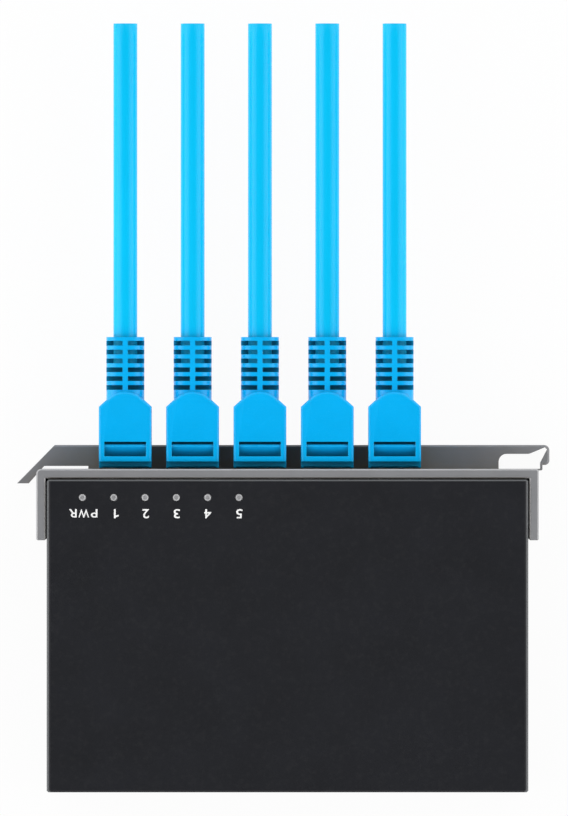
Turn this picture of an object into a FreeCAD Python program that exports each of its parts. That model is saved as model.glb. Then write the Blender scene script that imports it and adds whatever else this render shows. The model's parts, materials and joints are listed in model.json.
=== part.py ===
import FreeCAD, Part
import math
import os

from FreeCAD import Vector

# Five-port ethernet switch in a folded steel case, with a snap-in mounting bracket
# round its port end and a patch lead plugged into each port.
# Frame: +X along the row of ports, +Y out of the ports, +Z up.
# Origin: on the floor, under the middle of the case and bracket taken together.
# All sizes are in millimetres.

# Case of two folded sheets
case_width = 108.6
case_depth = 70.5
sheet = 0.8
fold_inside_radius = 0.2
cover_edge_chamfer = 0.35
cover_overhang = 0.2
cover_clearance = 0.15
flange_height = 8.0
flange_relief = 0.3

# Rubber feet
foot_height = 1.6
foot_width = 8.0
foot_inset = 10.0
foot_edge_chamfer = 0.5

# Circuit board on its posts
post_height = 3.6
post_width = 5.0
post_inset = 4.0
post_front_setback = 12.0
board_thickness = 1.6
board_margin = 1.5
board_front_gap = 0.4

# Cover screws
screw_diameter = 2.4
screw_hole_clearance = 0.05
flat_head_diameter = 4.6
flat_head_depth = 1.1
cover_screw_tip = 0.6
cover_screw_height = 4.0
drive_length = 2.6
drive_width = 0.7
drive_depth = 0.6

# Side vents
vent_count = 7
vent_width = 1.6
vent_height = 7.0
vent_pitch = 4.2
vent_low_edge = 10.0
vent_setback = 41.8

# Modular plug
plug_width = 11.68
plug_height = 8.0
plug_nose_length = 14.0
plug_nose_chamfer = 0.6
plug_tail_length = 7.0
plug_tail_inset = 1.0
blade_count = 8
blade_pitch = 1.02
blade_width = 0.34
blade_length = 3.2
blade_height = 1.4
blade_setback = 0.5
blade_recess = 0.1
blade_well_margin = 0.4
lever_width = 6.0
lever_tail_width = 3.4
lever_thickness = 1.0
lever_rise = 0.6
lever_root = 1.0
lever_shoulder = 8.0

# Port jacks
port_count = 5
port_row_offset = -6.22
jack_gap = 0.6
jack_wall = 1.3
jack_floor = 1.5
jack_roof = 0.9
jack_keyway_height = 1.7
jack_depth = 17.0
jack_side_clearance = 0.16
jack_floor_clearance = 0.1
jack_keyway_clearance = 0.3
jack_back_clearance = 0.6
jack_cutout_clearance = 0.2
contact_width = 0.4
contact_thickness = 0.3
contact_well_depth = 0.7
contact_well_margin = 0.5
contact_reach = 6.5

# Power inlet
inlet_spacing = 15.83
inlet_width = 9.0
inlet_height = 11.0
inlet_depth = 14.0
inlet_axis_height = 6.5
inlet_bore = 6.3
inlet_bore_depth = 10.5
inlet_pin = 2.0
inlet_pin_recess = 1.2
inlet_cutout_clearance = 0.2

# Indicators
led_inset = 8.06
led_pitch = 7.06
led_setback = 4.04
led_gap = 2.5
led_length = 1.6
led_depth = 0.8
led_height = 0.8
pipe_gap = 0.1
pipe_lift = 0.1
pipe_size = 1.9
pipe_headroom = 0.2
pipe_dot_diameter = 1.66
pipe_dot_proud = 0.05
pipe_hole_clearance = 0.1

# Parts on the board
transformer_width = 12.6
transformer_depth = 7.2
transformer_height = 5.2
transformer_chamfer = 0.6
transformer_gap = 2.6
chip_width = 12.0
chip_height = 1.0
sink_width = 16.0
sink_base = 1.6
sink_height = 7.0
sink_fins = 7
sink_fin_thickness = 0.8
memory_width = 5.0
memory_depth = 4.0
memory_height = 1.7
crystal_width = 5.0
crystal_depth = 3.2
crystal_height = 1.0
regulator_width = 6.0
regulator_depth = 5.0
regulator_height = 1.8
small_part_chamfer = 0.25
inductor_width = 7.0
inductor_height = 3.6
capacitor_width = 4.3
capacitor_depth = 7.3
capacitor_height = 2.9
capacitor_spacing = 9.0

# Mounting bracket
collar_wall = 2.12
collar_front_gap = 0.26
collar_side_gap = 0.24
collar_arm_length = 16.06
collar_left_round = 1.1
collar_right_round = 0.5
collar_end_chamfer = 0.25
collar_top_drop = 0.6
collar_lift = 0.8
collar_edge_chamfer = 0.3
shelf_reach = 1.5
grip_rib_width = 1.2
grip_rib_height = 10.0
grip_rib_low_edge = 4.0
grip_rib_setbacks = (6.0, 13.0)
port_window_margin = 0.8
inlet_window_margin = 1.4
bar_reach = 5.38
bar_height = 5.0
bar_edge_chamfer = 0.4
bar_slot_gap = 0.65
bar_slot_length = 10.0
bar_slot_inset = 1.6
lip_inner_reach = 1.9
lip_outer_reach = 4.5
lip_end_setback = 3.28
lip_outer_inset = 4.0
latch_hole_length = 8.9
latch_arm_thickness = 2.0
latch_hole_round = 1.8
latch_reach = 2.58
latch_tongue_length = 4.5
latch_tongue_thickness = 1.56
latch_tongue_round = 1.0
latch_top_round = 1.2
latch_foot_drop = 0.36
latch_foot_round = 0.35
latch_strip = 0.5

# Plug hood with its ribbed sleeve
hood_gap = 0.3
hood_width = 11.9
hood_length = 13.75
hood_rise = 2.4
hood_drop = 1.0
hood_edge_chamfer = 0.5
hood_shoulder_length = 1.5
hood_step_length = 1.4
hood_step_depth = 2.2
hood_tail_wall = 0.95
hood_fit_clearance = 0.05
dome_length = 1.85
dome_points = 9
window_width = 9.4
window_length = 3.3
window_setback = 2.55
window_depth = 3.0
window_groove = 0.5
press_bar_drop = 0.5
press_bar_chamfer = 0.3
press_bar_width = 0.9
press_ramp_drop = 2.6
sleeve_width = 8.6
sleeve_height = 8.4
sleeve_length = 14.24
sleeve_chamfer = 2.2
slot_count = 6
slot_pitch = 2.0
slot_length = 1.04
slot_depth = 2.4
slot_end_margin = 1.4
spine_width = 1.2

# Patch lead
lead_diameter = 5.4
lead_length = 70.8

# Heights worked out from the stack above the floor
case_bottom = foot_height
board_bottom = case_bottom + sheet + post_height
board_top = board_bottom + board_thickness
plug_bottom = board_top + jack_floor + jack_floor_clearance
plug_top = plug_bottom + plug_height
jack_top = plug_top + jack_keyway_height + jack_roof
pipe_low = jack_top + pipe_lift
pipe_high = pipe_low + pipe_size
cover_under = pipe_high + pipe_headroom
case_top = cover_under + sheet
case_height = case_top - case_bottom
hood_top = plug_top + hood_rise
hood_bottom = plug_bottom - hood_drop
lead_height = (plug_bottom + plug_top) / 2
inlet_axis = board_top + inlet_axis_height

# Plan positions worked out from the case, before the origin is moved
half_width = case_width / 2
case_front = case_depth / 2
wall_face = case_front - cover_overhang
side_middle = case_front - vent_setback
cover_screw_length = 2 * sheet + cover_clearance + cover_screw_tip
tray_length = case_width - 2 * (sheet + cover_clearance)
tray_depth = 2 * wall_face
jack_width = plug_width + 2 * (jack_side_clearance + jack_wall)
port_pitch = jack_width + jack_gap
port_places = [port_row_offset + port_pitch * (i - (port_count - 1) / 2) for i in range(port_count)]
inlet_x = port_places[-1] + inlet_spacing
jack_back = wall_face - jack_depth
collar_front = case_front + collar_front_gap + collar_wall
collar_inside = half_width + collar_side_gap
collar_outside = collar_inside + collar_wall
collar_top = case_top - collar_top_drop
bar_front = collar_front + bar_reach
hood_front = collar_front + hood_gap
plug_nose = hood_front - plug_nose_length
hood_back = hood_front + hood_length + hood_shoulder_length
sleeve_end = hood_back + sleeve_length
led_places = [led_inset - half_width + led_pitch * i for i in range(port_count + 1)]
led_front = case_front - led_setback
led_row = jack_back - led_gap
transformer_row = led_row - transformer_gap - transformer_depth / 2
board_front = wall_face - sheet - board_front_gap
board_back = sheet + board_margin - wall_face
board_half = tray_length / 2 - sheet - board_margin
post_x = board_half - post_inset
post_rows = (board_back + post_inset, board_front - post_front_setback)
board_posts = [(side * post_x, y) for side in (-1, 1) for y in post_rows]

AXES = {"x": Vector(1, 0, 0), "y": Vector(0, 1, 0), "z": Vector(0, 0, 1)}


def place(axis, u, v, level):
    """Point of a drawing plane square to an axis, at a level along that axis."""
    if axis == "x":
        return Vector(level, u, v)
    if axis == "y":
        return Vector(u, level, v)
    return Vector(u, v, level)


def rounded_wire(corners, axis, level):
    """Closed wire through (u, v, radius) corners, with an arc at each radius."""
    stops = []
    for index, (u, v, radius) in enumerate(corners):
        here = Vector(u, v, 0)
        before = Vector(corners[index - 1][0], corners[index - 1][1], 0)
        following = corners[(index + 1) % len(corners)]
        after = Vector(following[0], following[1], 0)
        back = (before - here).normalize()
        ahead = (after - here).normalize()
        if radius == 0:
            stops.append((here, None, here))
            continue
        half = back.getAngle(ahead) / 2
        inward = (back + ahead).normalize()
        middle = here + inward * (radius / math.sin(half) - radius)
        reach = radius / math.tan(half)
        stops.append((here + back * reach, middle, here + ahead * reach))
    edges = []
    for index, (start, middle, end) in enumerate(stops):
        spots = [place(axis, p.x, p.y, level) for p in (start, middle, end) if p is not None]
        if middle is not None:
            edges.append(Part.Arc(*spots).toShape())
        next_start = stops[(index + 1) % len(stops)][0]
        if end.distanceToPoint(next_start) > 1e-6:
            far = place(axis, next_start.x, next_start.y, level)
            edges.append(Part.LineSegment(spots[-1], far).toShape())
    return Part.Wire(edges)


def prism(corners, axis, low, high):
    """Outline of (u, v, radius) corners drawn square to an axis and extruded along it."""
    face = Part.Face(rounded_wire(corners, axis, low))
    return face.extrude(AXES[axis] * (high - low))


def sharp(points):
    """Outline corners with no rounding."""
    return [(u, v, 0) for u, v in points]


def rectangle(u_low, u_high, v_low, v_high, radius=0):
    """Outline corners of a rectangle with one corner radius."""
    return [
        (u_low, v_low, radius),
        (u_high, v_low, radius),
        (u_high, v_high, radius),
        (u_low, v_high, radius),
    ]


def block(x_low, x_high, y_low, y_high, z_low, z_high):
    """Plain rectangular block between two corners."""
    return prism(rectangle(x_low, x_high, y_low, y_high), "z", z_low, z_high)


def block_on_board(x, y, width, depth, height, chamfer):
    """Moulded package on the board, with its top edges chamfered."""
    package = block(
        x - width / 2, x + width / 2, y - depth / 2, y + depth / 2, board_top, board_top + height
    )
    return package.makeChamfer(chamfer, edges_at(package, board_top + height))


def turned(corners):
    """Outline of (radius, height, rounding) corners turned about the Z axis."""
    face = Part.Face(rounded_wire(corners, "y", 0))
    return face.revolve(Vector(0, 0, 0), AXES["z"], 360)


def edges_at(shape, level):
    """Edges that lie wholly at one height."""
    return [
        edge
        for edge in shape.Edges
        if abs(edge.BoundBox.ZMin - level) < 1e-4 and abs(edge.BoundBox.ZMax - level) < 1e-4
    ]


def moved(shape, x=0, y=0, z=0):
    """Copy of a shape at another place."""
    return shape.translated(Vector(x, y, z))


def joined(first, *others):
    """One solid out of pieces that are made in one."""
    return first.multiFuse(others).removeSplitter().Solids[0]


def trimmed(shape, *tools):
    """The solid that is left when the tools are cut away."""
    return shape.cut(tools).removeSplitter().Solids[0]


def group(shapes):
    """Separate like solids kept together."""
    return Part.makeCompound(shapes)


def folded_channel(width, height, length):
    """Sheet folded down along two sides, lying along Y, top at height and open below."""
    outside = sheet + fold_inside_radius
    inner = width / 2 - sheet
    profile = [
        (-width / 2, 0, 0),
        (-width / 2, height, outside),
        (width / 2, height, outside),
        (width / 2, 0, 0),
        (inner, 0, 0),
        (inner, height - sheet, fold_inside_radius),
        (-inner, height - sheet, fold_inside_radius),
        (-inner, 0, 0),
    ]
    return prism(profile, "y", -length / 2, length / 2)


def cover_screw(clearance):
    """Flat-head screw, or the hole for it, pointing down from its flush head."""
    head = flat_head_diameter / 2 + clearance
    shank = screw_diameter / 2 + clearance
    profile = [
        (0, 0, 0),
        (head, 0, 0),
        (shank, -flat_head_depth, 0),
        (shank, -cover_screw_length, 0),
        (0, -cover_screw_length, 0),
    ]
    return turned(profile)


def driven_screw():
    """Flat-head screw with a cross recess for the driver."""
    reach = drive_length / 2
    half = drive_width / 2
    across = block(-reach, reach, -half, half, -drive_depth, drive_depth)
    along = block(-half, half, -reach, reach, -drive_depth, drive_depth)
    return trimmed(cover_screw(0), across, along)


def at_cover_screws(shape):
    """Copies of a shape at the two cover screws, turned to point into the case."""
    copies = []
    for side in (-1, 1):
        copy = shape.copy()
        copy.rotate(Vector(0, 0, 0), AXES["y"], 90 * side)
        copies.append(moved(copy, side * half_width, side_middle, case_bottom + cover_screw_height))
    return copies


def top_cover():
    """Top and both sides in one folded sheet, with indicator holes and side vents."""
    cover = moved(folded_channel(case_width, case_height, case_depth), z=case_bottom)
    ends = [
        edge
        for edge in cover.Edges
        if edge.BoundBox.YLength < 1e-4 and edge.BoundBox.ZMin > cover_under + sheet / 2
    ]
    cover = cover.makeChamfer(cover_edge_chamfer, ends)
    hole = pipe_dot_diameter / 2 + pipe_hole_clearance
    tools = [
        Part.makeCylinder(hole, 2 * sheet, Vector(x, led_front, case_top - 1.5 * sheet))
        for x in led_places
    ]
    first_vent = side_middle - vent_pitch * (vent_count - 1) / 2
    for index in range(vent_count):
        y = first_vent + vent_pitch * index
        low = case_bottom + vent_low_edge
        slot = rectangle(y - vent_width / 2, y + vent_width / 2, low, low + vent_height)
        tools.append(prism(slot, "x", -case_width, case_width))
    return trimmed(cover, *tools, *at_cover_screws(cover_screw(screw_hole_clearance)))


def base_tray():
    """Floor with front and rear walls and low side flanges, in one folded sheet."""
    wall_height = case_height - sheet - cover_clearance
    walls = folded_channel(tray_depth, wall_height, tray_length)
    walls.rotate(Vector(0, 0, 0), AXES["z"], 90)
    walls.rotate(Vector(0, 0, 0), AXES["x"], 180)
    flange_length = tray_depth - 2 * (sheet + fold_inside_radius + flange_relief)
    flanges = folded_channel(tray_length, flange_height, flange_length)
    flanges.rotate(Vector(0, 0, 0), AXES["y"], 180)
    tray = joined(moved(walls, z=case_bottom + wall_height), moved(flanges, z=case_bottom + flange_height))
    row_low = port_places[0] - jack_width / 2 - jack_cutout_clearance
    row_high = port_places[-1] + jack_width / 2 + jack_cutout_clearance
    ports = block(
        row_low,
        row_high,
        wall_face - 2 * sheet,
        wall_face + sheet,
        board_top - jack_cutout_clearance,
        jack_top + jack_cutout_clearance,
    )
    inlet_half = inlet_width / 2 + inlet_cutout_clearance
    inlet = block(
        inlet_x - inlet_half,
        inlet_x + inlet_half,
        wall_face - 2 * sheet,
        wall_face + sheet,
        board_top - inlet_cutout_clearance,
        board_top + inlet_height + inlet_cutout_clearance,
    )
    return trimmed(tray, ports, inlet, *at_cover_screws(cover_screw(screw_hole_clearance)))


def rubber_foot(x, y):
    """Square pad stuck under the tray, its lower edges cut back."""
    half = foot_width / 2
    pad = block(x - half, x + half, y - half, y + half, 0, foot_height)
    return pad.makeChamfer(foot_edge_chamfer, edges_at(pad, 0))


def main_board():
    """Plain board that carries every part inside the case."""
    return block(-board_half, board_half, board_back, board_front, board_bottom, board_top)


def board_post(x, y):
    """Six-sided post that carries the board on the tray's floor."""
    reach = post_width / math.sqrt(3)
    corners = []
    for step in range(6):
        angle = math.radians(60 * step)
        corners.append((x + reach * math.cos(angle), y + reach * math.sin(angle)))
    return prism(sharp(corners), "z", case_bottom + sheet, board_bottom)


def port_jack(x):
    """Jack housing with a keyed mouth and a well in its floor for the contact wires."""
    half = jack_width / 2
    body = block(x - half, x + half, jack_back, wall_face, board_top, jack_top)
    mouth = plug_width / 2 + jack_side_clearance
    key = lever_width / 2 + jack_keyway_clearance
    mouth_low = plug_bottom - jack_floor_clearance
    mouth_high = plug_top + jack_side_clearance
    key_high = jack_top - jack_roof
    opening = sharp(
        [
            (x - mouth, mouth_low),
            (x + mouth, mouth_low),
            (x + mouth, mouth_high),
            (x + key, mouth_high),
            (x + key, key_high),
            (x - key, key_high),
            (x - key, mouth_high),
            (x - mouth, mouth_high),
        ]
    )
    mouth_back = plug_nose - jack_back_clearance
    well = blade_pitch * (blade_count - 1) / 2 + contact_width / 2 + contact_well_margin
    contact_well = block(
        x - well,
        x + well,
        mouth_back,
        plug_nose + contact_reach + contact_well_margin,
        mouth_low - contact_well_depth,
        plug_top,
    )
    return trimmed(body, prism(opening, "y", mouth_back, wall_face + jack_wall), contact_well)


def blade_places(x):
    """Places of the contacts across one port."""
    return [x + blade_pitch * (i - (blade_count - 1) / 2) for i in range(blade_count)]


def jack_contact(x):
    """Spring wire that slopes up out of the jack's floor to meet one blade."""
    half = contact_thickness / 2
    tip = plug_nose + blade_setback
    root = plug_nose + contact_reach
    high = plug_bottom + blade_recess - half
    low = plug_bottom - jack_floor_clearance - contact_well_depth + half
    side = sharp([(tip, high - half), (root, low - half), (root, low + half), (tip, high + half)])
    return prism(side, "x", x - contact_width / 2, x + contact_width / 2)


def power_inlet():
    """Barrel socket housing, its bore open towards the front."""
    half = inlet_width / 2
    back = wall_face - inlet_depth
    body = block(inlet_x - half, inlet_x + half, back, wall_face, board_top, board_top + inlet_height)
    mouth = Vector(inlet_x, wall_face - inlet_bore_depth, inlet_axis)
    return trimmed(body, Part.makeCylinder(inlet_bore / 2, inlet_depth, mouth, AXES["y"]))


def power_pin():
    """Round centre pin standing in the socket's bore."""
    root = Vector(inlet_x, wall_face - inlet_bore_depth, inlet_axis)
    return Part.makeCylinder(inlet_pin / 2, inlet_bore_depth - inlet_pin_recess, root, AXES["y"])


def indicator_led(x):
    """Surface-mount lamp under the foot of a light pipe."""
    return block(
        x - led_length / 2,
        x + led_length / 2,
        led_row - led_depth / 2,
        led_row + led_depth / 2,
        board_top,
        board_top + led_height,
    )


def light_pipe(x):
    """Clear rod from a lamp behind the jacks, over them and up through the cover."""
    half = pipe_size / 2
    foot = board_top + led_height + pipe_gap
    path = sharp(
        [
            (led_row - half, foot),
            (led_row + half, foot),
            (led_row + half, pipe_low),
            (led_front - half, pipe_low),
            (led_front + half, pipe_high),
            (led_row + half, pipe_high),
            (led_row - half, pipe_low),
        ]
    )
    rod = prism(path, "x", x - half, x + half)
    dot_height = case_top + pipe_dot_proud - pipe_high
    dot = Part.makeCylinder(pipe_dot_diameter / 2, dot_height, Vector(x, led_front, pipe_high))
    return joined(rod, dot)


def chip_heat_sink(x, y):
    """Extruded heat sink glued on the chip, a base with upright fins."""
    half = sink_width / 2
    low = board_top + chip_height
    step = (sink_width - sink_fin_thickness) / (sink_fins - 1)
    outline = [(x - half, low), (x + half, low)]
    for index in reversed(range(sink_fins)):
        left = x - half + step * index
        right = left + sink_fin_thickness
        outline.append((right, low + sink_base))
        outline.append((right, low + sink_height))
        outline.append((left, low + sink_height))
        outline.append((left, low + sink_base))
    return prism(sharp(outline), "y", y - half, y + half)


def mounting_bracket():
    """Collar round the port end with a low bar, a flared lip and a sprung latch."""
    arm_end = collar_front - collar_arm_length
    inside_front = collar_front - collar_wall
    cut = collar_end_chamfer
    plan = [
        (cut - collar_outside, arm_end, 0),
        (-collar_outside, arm_end + cut, 0),
        (-collar_outside, collar_front, collar_left_round),
        (collar_outside, collar_front, collar_right_round),
        (collar_outside, arm_end + cut, 0),
        (collar_outside - cut, arm_end, 0),
        (collar_inside + cut, arm_end, 0),
        (collar_inside, arm_end + cut, 0),
        (collar_inside, inside_front, 0),
        (-collar_inside, inside_front, 0),
        (-collar_inside, arm_end + cut, 0),
        (-collar_inside - cut, arm_end, 0),
    ]
    collar = prism(plan, "z", collar_lift, collar_top)
    collar = collar.makeChamfer(collar_edge_chamfer, edges_at(collar, collar_top))
    windows = bracket_windows()
    ribs = [grip_rib(side, setback) for side in (-1, 1) for setback in grip_rib_setbacks]
    return joined(trimmed(collar, *windows), bracket_shelf(), bracket_bar(), *ribs)


def bracket_shelf():
    """Narrow shelf inside the collar, which the edge of the case sits on."""
    outer = collar_inside + collar_wall / 2
    inner = half_width - shelf_reach
    arm_end = collar_front - collar_arm_length + collar_end_chamfer
    plan = sharp(
        [
            (-outer, arm_end),
            (-outer, collar_front - collar_wall / 2),
            (outer, collar_front - collar_wall / 2),
            (outer, arm_end),
            (inner, arm_end),
            (inner, case_front - shelf_reach),
            (-inner, case_front - shelf_reach),
            (-inner, arm_end),
        ]
    )
    return prism(plan, "z", collar_lift, case_bottom)


def bracket_windows():
    """Cuts through the collar's front wall for the plugs and for the power inlet."""
    half = plug_width / 2 + port_window_margin
    ports = rectangle(
        port_places[0] - half,
        port_places[-1] + half,
        plug_bottom - port_window_margin,
        plug_top + jack_keyway_height + port_window_margin,
    )
    inlet_half = inlet_width / 2 + inlet_window_margin
    inlet = rectangle(
        inlet_x - inlet_half,
        inlet_x + inlet_half,
        inlet_axis - inlet_half,
        inlet_axis + inlet_half,
    )
    depths = (collar_front - 2 * collar_wall, collar_front + collar_wall)
    return [prism(ports, "y", *depths), prism(inlet, "y", *depths)]


def grip_rib(side, setback):
    """Upright rib inside an arm that grips the side of the case."""
    middle = collar_front - setback
    reach = sorted((side * half_width, side * (collar_inside + collar_wall / 2)))
    low = case_bottom + grip_rib_low_edge
    return block(
        *reach, middle - grip_rib_width / 2, middle + grip_rib_width / 2, low, low + grip_rib_height
    )


def bracket_bar():
    """Low bar along the collar, with the lip at its left end and the latch at its right."""
    buried = collar_front - collar_wall / 2
    slot_end = bar_slot_inset - collar_outside
    slot_root = slot_end + bar_slot_length
    slot_line = collar_front + bar_slot_gap
    lip_line = collar_front - lip_end_setback
    tip = collar_outside + latch_reach
    strip_face = tip - latch_tongue_thickness
    foot = collar_front - latch_foot_drop
    tongue_end = bar_front - latch_tongue_length
    plan = [
        (-collar_outside - lip_outer_reach, lip_line, 0),
        (lip_outer_inset - collar_outside, bar_front, 0),
        (tip, bar_front, latch_top_round),
        (tip, tongue_end, latch_tongue_round),
        (strip_face, tongue_end, 0),
        (strip_face, foot, latch_foot_round),
        (collar_inside, foot, 0),
        (collar_inside, buried, 0),
        (slot_root, buried, 0),
        (slot_root, slot_line, 0),
        (slot_end, slot_line, 0),
        (-collar_outside - lip_inner_reach, lip_line, 0),
    ]
    bar_top = collar_lift + bar_height
    bar = prism(plan, "z", collar_lift, bar_top)
    front_edge = [edge for edge in edges_at(bar, bar_top) if edge.BoundBox.YMin > bar_front - 1e-4]
    bar = bar.makeChamfer(bar_edge_chamfer, front_edge)
    return trimmed(bar, latch_hole(strip_face))


def latch_hole(strip_face):
    """Opening behind the latch, which leaves a thin strip to bend beside the hook."""
    root = collar_outside - latch_hole_length
    ceiling = bar_front - latch_arm_thickness
    strip_inner = strip_face - latch_strip
    hook_inner = strip_face + latch_tongue_thickness - latch_strip
    plan = [
        (root, collar_front, 0),
        (root, ceiling, latch_hole_round),
        (collar_outside - latch_arm_thickness, ceiling, latch_arm_thickness),
        (hook_inner - latch_strip, bar_front - latch_strip, 0),
        (hook_inner, bar_front - 2 * latch_strip, 0),
        (strip_inner, bar_front - latch_tongue_length + latch_strip, 0),
        (strip_inner, collar_front, 0),
    ]
    return prism(plan, "z", collar_lift - bar_height, collar_lift + 2 * bar_height)


def modular_plug(x):
    """Clear plug with its latch lever, its blade well and a tail inside the hood."""
    half = plug_width / 2
    chamfer = plug_nose_chamfer
    side = sharp(
        [
            (plug_nose, plug_bottom + chamfer),
            (plug_nose + chamfer, plug_bottom),
            (hood_front, plug_bottom),
            (hood_front, plug_top),
            (plug_nose + chamfer, plug_top),
            (plug_nose, plug_top - chamfer),
        ]
    )
    nose = prism(side, "x", x - half, x + half)
    tail_half = hood_width / 2 - hood_tail_wall
    tail = block(
        x - tail_half,
        x + tail_half,
        hood_front - plug_tail_inset,
        hood_front + plug_tail_length,
        plug_bottom + plug_tail_inset,
        plug_top - plug_tail_inset,
    )
    well_half = blade_pitch * (blade_count - 1) / 2 + blade_width / 2 + blade_well_margin
    blade_well = block(
        x - well_half,
        x + well_half,
        plug_nose - chamfer,
        plug_nose + blade_setback + blade_length + blade_recess,
        plug_bottom - blade_height,
        plug_bottom + blade_recess + blade_height,
    )
    return trimmed(joined(nose, tail, *latch_lever(x)), blade_well)


def latch_lever(x):
    """Wide front and narrow tail of the lever that locks the plug in its jack."""
    root = plug_nose + lever_root
    end = hood_front
    rise = lever_rise / (end - root)
    thick = lever_thickness
    shoulder = plug_nose + lever_shoulder
    low = plug_top - thick / 2

    def strip(start, stop, width):
        base = low + thick / 2
        heights = [base + rise * (stop - root), base + rise * (start - root)]
        profile = sharp(
            [(start, low), (stop, low), (stop, heights[0] + thick / 2), (start, heights[1] + thick / 2)]
        )
        return prism(profile, "x", x - width / 2, x + width / 2)

    return [strip(root, shoulder, lever_width), strip(shoulder - thick, end, lever_tail_width)]


def plug_blade(x):
    """Thin contact blade seated at the top of the blade well."""
    start = plug_nose + blade_setback
    return block(
        x - blade_width / 2,
        x + blade_width / 2,
        start,
        start + blade_length,
        plug_bottom + blade_recess,
        plug_bottom + blade_recess + blade_height,
    )


def plug_hood(x):
    """Moulded hood with a press window, running into a ribbed sleeve."""
    half = hood_width / 2
    neck = sleeve_width / 2
    shoulder = hood_front + hood_length
    plan = sharp(
        [
            (x - half, hood_front),
            (x + half, hood_front),
            (x + half, shoulder),
            (x + neck, hood_back),
            (x - neck, hood_back),
            (x - half, shoulder),
        ]
    )
    body = prism(plan, "z", hood_bottom, hood_top)
    rims = [
        edge
        for edge in edges_at(body, hood_top) + edges_at(body, hood_bottom)
        if edge.BoundBox.YMax > hood_front + 1e-4 and edge.BoundBox.YMin < hood_back - 1e-4
    ]
    body = body.makeChamfer(hood_edge_chamfer, rims)
    step_low = hood_top - hood_step_depth
    step = block(x - half, x + half, hood_front, hood_front + hood_step_length, step_low, hood_top)
    tail_half = half - hood_tail_wall + hood_fit_clearance
    pocket = block(
        x - tail_half,
        x + tail_half,
        hood_front,
        hood_front + plug_tail_length + hood_fit_clearance,
        plug_bottom + plug_tail_inset - hood_fit_clearance,
        plug_top - plug_tail_inset + hood_fit_clearance,
    )
    body = trimmed(body, step, pocket, press_window(x))
    return joined(body, ribbed_sleeve(x), sleeve_dome(x))


def press_window(x):
    """Cut that leaves a rounded press bar and a ramp at the bottom of the window."""
    front = hood_front + window_setback
    back = front + window_length
    bar = back - window_groove
    crest = hood_top - press_bar_drop
    profile = [
        (front, hood_top - press_ramp_drop),
        (bar - press_bar_width, crest),
        (bar - press_bar_chamfer, crest),
        (bar, crest - press_bar_chamfer),
        (bar, hood_top - window_depth),
        (back, hood_top - window_depth),
        (back, hood_top + window_depth),
        (front, hood_top + window_depth),
    ]
    return prism(sharp(profile), "x", x - window_width / 2, x + window_width / 2)


def ribbed_sleeve(x):
    """Strain-relief sleeve, slotted from above on each side of a spine."""
    half = sleeve_width / 2
    low = lead_height - sleeve_height / 2
    high = lead_height + sleeve_height / 2
    cut = sleeve_chamfer
    section = sharp(
        [
            (x - half + cut, low),
            (x + half - cut, low),
            (x + half, low + cut),
            (x + half, high - cut),
            (x + half - cut, high),
            (x - half + cut, high),
            (x - half, high - cut),
            (x - half, low + cut),
        ]
    )
    sleeve = prism(section, "y", hood_back - hood_shoulder_length, sleeve_end)
    slots = []
    for index in range(slot_count):
        middle = sleeve_end - slot_end_margin - slot_pitch * index
        for side in (-1, 1):
            reach = sorted((x + side * spine_width / 2, x + side * sleeve_width))
            ends = (middle - slot_length / 2, middle + slot_length / 2)
            slots.append(block(*reach, *ends, high - slot_depth, high + slot_depth))
    return trimmed(sleeve, *slots)


def sleeve_dome(x):
    """Rounded tongue of the hood's flat top that runs out over the sleeve."""
    neck = sleeve_width / 2 - hood_edge_chamfer
    root = hood_back - hood_shoulder_length / 2
    ends = [Vector(x - neck, hood_back, lead_height), Vector(x + neck, hood_back, lead_height)]
    apex = Vector(x, hood_back + dome_length, lead_height)
    rim = Part.Arc(ends[0], apex, ends[1]).discretize(dome_points)
    rim += [Vector(x + neck, root, lead_height), Vector(x - neck, root, lead_height)]
    tongue = Part.Face(Part.makePolygon(rim + rim[:1]))
    return tongue.extrude(Vector(0, 0, hood_top - lead_height))


def patch_lead(x):
    """Straight round lead from the end of the sleeve to its square-cut end."""
    return Part.makeCylinder(lead_diameter / 2, lead_length, Vector(x, sleeve_end, lead_height), AXES["y"])


def board_parts():
    """The chips, coil and capacitors behind the transformers."""
    chip_y = transformer_row - transformer_depth / 2 - transformer_gap - sink_width / 2
    chip_x = port_row_offset
    left = chip_x - sink_width / 2
    right = chip_x + sink_width / 2
    power_x = inlet_x - capacitor_spacing / 2
    coil_x = right + inductor_width
    parts = {
        "switch_chip": block_on_board(
            chip_x, chip_y, chip_width, chip_width, chip_height, small_part_chamfer
        ),
        "chip_heat_sink": chip_heat_sink(chip_x, chip_y),
        "memory_chip": block_on_board(
            left - 2 * memory_width, chip_y, memory_width, memory_depth, memory_height, small_part_chamfer
        ),
        "crystal": block_on_board(
            left - crystal_width,
            chip_y - memory_depth - crystal_depth,
            crystal_width,
            crystal_depth,
            crystal_height,
            small_part_chamfer,
        ),
        "regulator_chip": block_on_board(
            coil_x,
            chip_y - inductor_width / 2 - regulator_depth,
            regulator_width,
            regulator_depth,
            regulator_height,
            small_part_chamfer,
        ),
        "regulator_inductor": block_on_board(
            coil_x,
            chip_y + inductor_width / 4,
            inductor_width,
            inductor_width,
            inductor_height,
            transformer_chamfer,
        ),
    }
    for number in (1, 2):
        parts["capacitor_%d" % number] = block_on_board(
            power_x + capacitor_spacing * (number - 1),
            chip_y,
            capacitor_width,
            capacitor_depth,
            capacitor_height,
            small_part_chamfer,
        )
    return parts


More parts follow.
